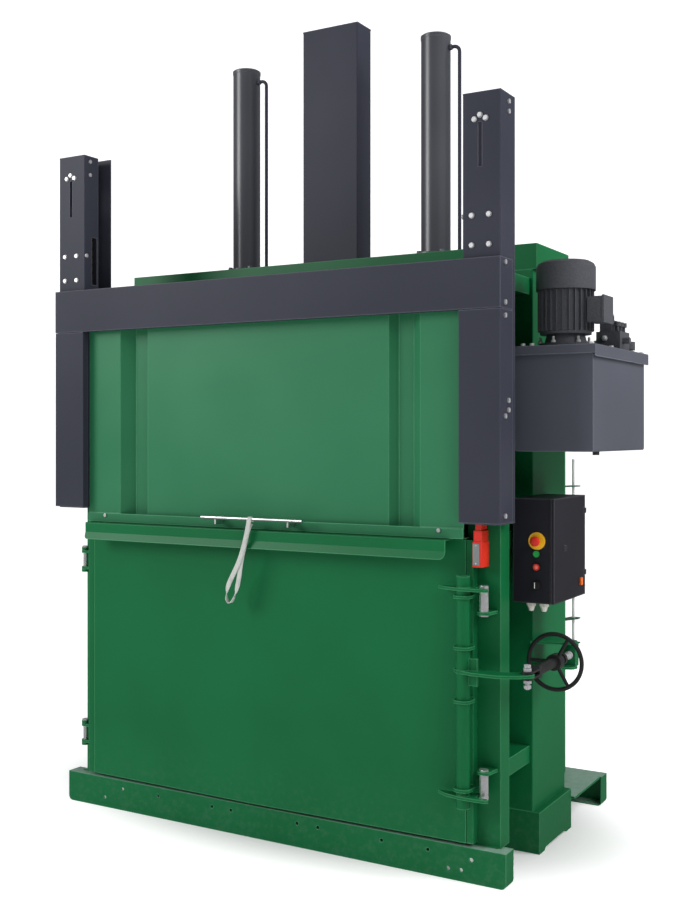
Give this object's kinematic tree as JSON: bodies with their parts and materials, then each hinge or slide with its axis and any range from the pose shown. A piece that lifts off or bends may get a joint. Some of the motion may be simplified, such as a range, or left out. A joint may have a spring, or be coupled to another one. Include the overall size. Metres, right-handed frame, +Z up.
{
  "type": "recycling baler",
  "caption": "Vertical recycling baler with twin press cylinders, sliding loading gate, hinged bale door with handwheel latch, side power pack and control box",
  "frame": {"origin": "On the floor, under the middle of the bale chamber, in the sole plate of the lower yoke beam", "axes": "+Z up, +X to the right of the operator who faces the door, +Y to the rear"},
  "size_m": [2.514, 1.3765, 3.607],
  "materials": {
    "green": "satin",
    "dark": "satin",
    "zinc": "satin",
    "chrome": "polished",
    "motor": "satin",
    "black": "satin",
    "red": "gloss",
    "yellow": "gloss",
    "greenlamp": "gloss",
    "orange": "gloss",
    "nylon": "satin",
    "webbing": "matte",
    "aluminium": "satin",
    "iron": "satin"
  },
  "bodies": {
    "frame": {"base_beams": "green", "cable_glands": "nylon", "chamber_floor": "green", "control_box": "black", "crossbar": "dark", "cylinder_barrels": "dark", "cylinder_pipes": "dark", "fan_cowl": "motor", "frame_lugs": "green", "front_posts": "green", "guide_bolts": "zinc", "guide_covers": "dark", "guide_pads": "nylon", "guide_posts": "dark", "hinge_and_lock_pins": "chrome", "interlock_switch": "red", "lift_chains": "zinc", "motor_body": "motor", "oil_tank": "dark", "panel_fittings": "black", "rear_ribs": "green", "rear_wall": "green", "screw_bracket": "green", "side_ribs": "green", "side_walls": "green", "stop_plate": "yellow", "tank_fasteners": "zinc", "tank_lid": "dark", "tie_reel_holder": "green", "valve_block": "aluminium", "yoke_base_beam": "green", "yoke_columns": "green", "yoke_head_beam": "green"},
    "gate": {"gate_panel": "green", "gate_handle": "aluminium", "gate_sliders": "zinc", "gate_strap": "webbing"},
    "counterweights": {"counterweights": "iron"},
    "pulley_right": {"chain_pulley_right": "iron"},
    "pulley_left": {"chain_pulley_left": "iron"},
    "press": {"platen": "green", "guide_column": "dark", "piston_rods": "chrome"},
    "door": {"door_panel": "green", "door_back_plate": "green", "door_ledge": "green", "hinge_door_lugs": "green", "door_edge_bar": "green"},
    "latch": {"latch": "green"},
    "link": {"lock_link": "black", "lever_bolt": "zinc"},
    "wheel": {"handwheel": "black"},
    "screw": {"push_screw": "zinc"},
    "cabinet_leaf": {"cabinet_door": "black", "cabinet_lamp": "orange"},
    "stop_button": {"stop_button": "red"},
    "start_button": {"start_button": "greenlamp"},
    "reset_button": {"reset_button": "red"},
    "selector": {"selector_knob": "black"},
    "fan": {"motor_fan": "black"}
  },
  "joints": [
    {"name": "gate_lift", "type": "slide", "parent": "frame", "child": "gate", "axis": [0, 0, 1], "range_m": [0, 0.8], "deforming": ["lift_chains"]},
    {"name": "counterweight_drop", "type": "slide", "parent": "frame", "child": "counterweights", "axis": [0, 0, -1], "range_m": [0, 0.8]},
    {"name": "pulley_right_turn", "type": "hinge", "parent": "frame", "child": "pulley_right", "pos_m": [1.05, -0.56, 2.93], "axis": [0, 1, 0], "range_deg": [0, 1160]},
    {"name": "pulley_left_turn", "type": "hinge", "parent": "frame", "child": "pulley_left", "pos_m": [-1.05, -0.56, 2.93], "axis": [0, -1, 0], "range_deg": [0, 1160]},
    {"name": "press_stroke", "type": "slide", "parent": "frame", "child": "press", "axis": [0, 0, -1], "range_m": [0, 0.95]},
    {"name": "door_swing", "type": "hinge", "parent": "frame", "child": "door", "pos_m": [-1.02, -0.59, 0.72], "axis": [0, 0, -1], "range_deg": [0, 110], "deforming": ["gate_strap"]},
    {"name": "wheel_turn", "type": "hinge", "parent": "link", "child": "wheel", "pos_m": [1.185, -0.318, 0.82], "axis": [0, 1, 0], "range_deg": [0, 1211.4]},
    {"name": "latch_turn", "type": "hinge", "parent": "door", "child": "latch", "pos_m": [0.945, -0.662, 0.72], "axis": [0, 0, 1], "range_deg": [0, 17]},
    {"name": "link_turn", "type": "hinge", "parent": "latch", "child": "link", "pos_m": [1.185, -0.615, 0.82], "axis": [0, 0, -1], "range_deg": [0, 20.44]},
    {"name": "screw_travel", "type": "slide", "parent": "link", "child": "screw", "axis": [0, -1, 0], "range_m": [0, 0.0673]},
    {"name": "cabinet_door_swing", "type": "hinge", "parent": "frame", "child": "cabinet_leaf", "pos_m": [1.209, -0.041, 1.263], "axis": [0, 0, 1], "range_deg": [0, 110]},
    {"name": "stop_press", "type": "slide", "parent": "frame", "child": "stop_button", "axis": [0, 1, 0], "range_m": [0, 0.005], "stiffness_N_per_m": 1500},
    {"name": "start_press", "type": "slide", "parent": "frame", "child": "start_button", "axis": [0, 1, 0], "range_m": [0, 0.004], "stiffness_N_per_m": 1200},
    {"name": "reset_press", "type": "slide", "parent": "frame", "child": "reset_button", "axis": [0, 1, 0], "range_m": [0, 0.004], "stiffness_N_per_m": 1200},
    {"name": "selector_turn", "type": "hinge", "parent": "frame", "child": "selector", "pos_m": [1.147, -0.42, 1.131], "axis": [0, 1, 0], "range_deg": [0, 90]},
    {"name": "fan_spin", "type": "hinge", "parent": "frame", "child": "fan", "pos_m": [1.225, -0.305, 2.3], "axis": [0, 0, 1], "continuous": true}
  ],
  "couplings": [
    {"joint": "counterweight_drop", "follows": "gate_lift", "ratio": 1},
    {"joint": "pulley_right_turn", "follows": "gate_lift", "rad_per_m": 25},
    {"joint": "pulley_left_turn", "follows": "gate_lift", "rad_per_m": 25},
    {"joint": "latch_turn", "follows": "wheel_turn", "ratio": 0.014032},
    {"joint": "link_turn", "follows": "wheel_turn", "ratio": 0.016871},
    {"joint": "screw_travel", "follows": "wheel_turn", "m_per_rad": 0.003183}
  ]
}
